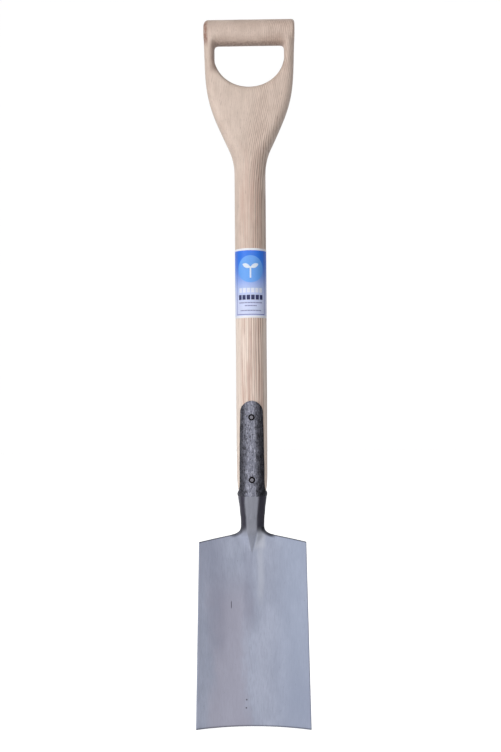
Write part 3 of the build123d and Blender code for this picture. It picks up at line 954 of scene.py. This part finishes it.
def label_material():
    """Printed paper: a blue field fading to lilac, a sprout on a pale disc, and bars in place of words."""
    s = Shader("label_paper")
    flat = s.parts(s.node("UVMap", uv_map="print").outputs[0])
    across, up = s.times(flat[0], PRINT_UNIT), s.times(flat[1], PRINT_UNIT)
    fibre = s.noise(1.2, 1.2, 4, 0.6)

    def bar(left, right, foot, top, soft=0.25):
        return s.patch(across, up, (left, right, soft), (foot, top, soft))

    def disc(x, z, edge):
        return s.step(s.length(s.add(across, -x), s.add(up, -z)), *edge)

    def dashes(half, foot, top, pitch):
        """A row of dashes in place of a line of print."""
        part = s.math("FRACT", s.times(across, 1 / pitch))
        return s.times(bar(-half, half, foot, top), s.span(part, 0.14, 0.86, 0.08))

    field = s.mix(s.step(up, 12, 84), (216, 224, 255), (92, 156, 248))
    field = s.mix(s.step(up, 36, 84), field, (40, 124, 246))
    art = s.mix(s.span(up, FIELD_MARGIN, LABEL_HEIGHT - FIELD_MARGIN, 0.2), (244, 244, 252), field)
    sprout = bar(-STEM_HALF, STEM_HALF, EMBLEM_Z + STEM_FOOT, EMBLEM_Z + STEM_TOP)
    for side in (-1, 1):
        line = side * FRAME_HALF
        sides = bar(line - FRAME_LINE, line + FRAME_LINE, FRAME_INSET, LABEL_HEIGHT - FRAME_INSET)
        art = s.mix(sides, art, (92, 104, 192))
        near = disc(side * LEAF_NEAR[0], EMBLEM_Z + LEAF_NEAR[1], LEAF_EDGE)
        far = disc(side * LEAF_FAR[0], EMBLEM_Z + LEAF_FAR[1], LEAF_EDGE)
        sprout = s.most(sprout, s.times(near, far))
    foot = bar(-FRAME_HALF, FRAME_HALF, FRAME_INSET - FRAME_LINE, FRAME_INSET + FRAME_LINE)
    art = s.mix(foot, art, (104, 112, 190))
    art = s.mix(disc(0, EMBLEM_Z, DISC_EDGE), art, (104, 172, 255))
    art = s.mix(sprout, art, (232, 242, 255))
    for *row, ink in DASHED_ROWS:
        art = s.mix(dashes(*row), art, ink)
    dust = s.times(s.step(fibre, 0.45, 0.7), 0.10)
    art = s.mix(dust, art, (120, 124, 160))
    return s.finish(fibre, bump=0.02, Base_Color=art, Roughness=0.42, Coat_Weight=0.25, Coat_Roughness=0.2)


# ------------ studio and camera
WHITE = (1, 1, 1)
FLOOR_RADIUS, DOME_RINGS, DOME_SEGMENTS = 6000, 16, 64
FLOOR_TONE, FLOOR_GLOW = 0.80, 0.72
SPHERE_TOP = 88  # degrees up to the last ring of the dome and of the shell, which a lid closes
ROOM_DARK, ROOM_BRIGHT = 0.23, 0.90
ROOM_BRIGHT_WAY, ROOM_FADE = (-0.20, 0.96, 0.15), (-0.15, 0.75)
REFLECTION_RADIUS, SHELL_RINGS, SHELL_SEGMENTS = 5000, 24, 48
REFLECT_DARK, REFLECT_FRONT, REFLECT_BACK, REFLECT_LEFT = 0.10, 0.67, 0.45, 0.22
REFLECT_LEAN = -0.15  # of the bright front, towards the left
FRONT_FADE, BACK_FADE, LEFT_FADE = (0.22, 0.72), (0.25, 0.80), (0.1, -0.9)
LIGHTS = (  # name, place, size, power in watts and tint
    ("key", (-1500, -1500, 550), (1100, 1500), 23, (1, 0.98, 0.96)),
    ("front_fill", (300, -2400, 450), (1800, 2000), 25.5, WHITE),
    ("top", (0, 300, 2300), (1600, 1000), 4, WHITE),
)
CAMERA_DISTANCE = 1304  # from the shaft's axis
CAMERA_Z = 442.4
CAMERA_AZIMUTH = 1  # degrees round the shaft towards +X
CAMERA_AIM = 0.06  # degrees further left than the shaft's axis
CAMERA_PITCH = 1.00
CAMERA_ROLL = -0.43
CAMERA_LENS = 46.1


def sphere_rings(radius, lowest, rings, segments):
    """Level rings of points on a sphere, from that many degrees up to close under its top."""
    turn = np.linspace(0, 2 * pi, segments, endpoint=False)
    return [
        radius * np.stack([cos(rise) * np.cos(turn), cos(rise) * np.sin(turn), 0 * turn + sin(rise)], 1)
        for rise in np.radians(np.linspace(lowest, SPHERE_TOP, rings))
    ]


def stage_material(name, tone, glow):
    """A matt grey that glows white."""
    paint = {"Base_Color": (tone, tone, tone, 1), "Roughness": 0.9}
    return Shader(name).finish(**paint, Emission_Color=(*WHITE, 1), Emission_Strength=glow)


def make_stage():
    """A white floor and dome. The camera sees them, but they neither light the spade nor show in it."""
    rings = sphere_rings(FLOOR_RADIUS, 0, DOME_RINGS, DOME_SEGMENTS)
    floor = make_mesh("studio_floor", rings[0], [range(DOME_SEGMENTS)])
    floor.data.materials.append(stage_material("floor_white", FLOOR_TONE, FLOOR_GLOW))
    dome = make_mesh("studio_dome", *loft(rings, [True]))
    dome.data.materials.append(stage_material("dome_white", 0, 1))
    dome.visible_shadow = False
    for one in (floor, dome):
        one.visible_diffuse = one.visible_glossy = False


def make_room(scene):
    """The diffuse light of the room: brighter behind the spade and to its left than in front of it."""
    scene.world = bpy.data.worlds.new("studio")
    scene.world.cycles_visibility.glossy = False
    s = Shader(owner=scene.world)
    inputs = {0: s.coordinates["Generated"], 1: ROOM_BRIGHT_WAY}
    toward = s.node("VectorMath", inputs, operation="DOT_PRODUCT").outputs["Value"]
    level = s.shade(s.step(toward, *ROOM_FADE), ROOM_DARK, ROOM_BRIGHT)
    light = s.node("Background", {"Color": (*WHITE, 1), "Strength": level}).outputs[0]
    s.node("OutputWorld", {"Surface": light})


def reflection_material():
    """What the steel reflects: a wide bright front, a softer back, and dark sides, the left one less so."""
    s = Shader("reflected_room")
    x, y, _ = s.parts(s.scaled([REFLECTION_RADIUS] * 3))
    ahead = s.math("MULTIPLY_ADD", x, REFLECT_LEAN, s.times(y, -1))
    level = REFLECT_DARK
    for way, fade, power in (
        (ahead, FRONT_FADE, REFLECT_FRONT), (y, BACK_FADE, REFLECT_BACK), (x, LEFT_FADE, REFLECT_LEFT),
    ):
        level = s.math("MULTIPLY_ADD", s.step(way, *fade), power, level)
    light = s.node("Emission", {"Strength": level}).outputs[0]
    s.node("OutputMaterial", {"Surface": light})
    return s.owner


def make_reflections():
    """A shell round the spade that only reflections see."""
    rings = sphere_rings(REFLECTION_RADIUS, -SPHERE_TOP, SHELL_RINGS, SHELL_SEGMENTS)
    shell = make_mesh("reflection_shell", *loft(rings))
    shell.data.materials.append(reflection_material())
    shell.visible_camera = shell.visible_diffuse = shell.visible_shadow = False


def make_light(name, at, size, power, tint):
    """A soft box that faces the middle of the spade. It lights the steel but doesn't show in it."""
    data = bpy.data.lights.new(name, "AREA")
    data.shape = "RECTANGLE"
    data.size, data.size_y = size[0] * MM, size[1] * MM
    data.energy = power
    data.color = tint
    lamp = bpy.data.objects.new(name, data)
    lamp.location = Vector(at) * MM
    middle = Vector((0, 0, HANDLE_HIGH[2] / 2)) * MM
    lamp.rotation_euler = (middle - lamp.location).to_track_quat("-Z", "Y").to_euler()
    lamp.visible_glossy = False
    bpy.context.scene.collection.objects.link(lamp)


def make_studio():
    """The room, the stage, what the steel reflects, and the lamps."""
    scene = bpy.context.scene
    scene.view_settings.view_transform = "Standard"
    make_room(scene)
    make_stage()
    make_reflections()
    for light in LIGHTS:
        make_light(*light)


def make_camera():
    """The camera in front of the spade, a little to the right of it."""
    turn = radians(CAMERA_AZIMUTH)
    data = bpy.data.cameras.new("camera")
    data.lens = CAMERA_LENS
    camera = bpy.data.objects.new("camera", data)
    camera.location = Vector((CAMERA_DISTANCE * sin(turn), -CAMERA_DISTANCE * cos(turn), CAMERA_Z)) * MM
    aim = Euler((radians(90 + CAMERA_PITCH), 0, radians(CAMERA_AZIMUTH + CAMERA_AIM))).to_matrix()
    roll = Euler((0, 0, radians(CAMERA_ROLL))).to_matrix()
    camera.rotation_euler = (aim @ roll).to_euler()
    bpy.context.scene.collection.objects.link(camera)
    bpy.context.scene.camera = camera


# ------------ build
def place_piece(piece, node, material):
    """Puts the material on a piece that stands for that CAD node, and fixes it to the spade."""
    piece.data.materials.append(material)
    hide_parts(node)
    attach(piece, "root")


def build():
    """All seven pieces of the spade, each in the place of its CAD node."""
    black = black_steel_material()
    rivet_steel = rivet_material()
    place_piece(make_handle(), "handle", ash_material())
    place_piece(make_blade(), "blade", ground_steel_material())
    for node, (seed, side) in STRAPS.items():
        place_piece(make_strap(f"{node}_forged", seed, side), node, black)
    for node, height in RIVETS.items():
        place_piece(make_rivet(f"{node}_forged", height), node, rivet_steel)
    place_piece(make_label(), "label", label_material())


build()
make_studio()
make_camera()
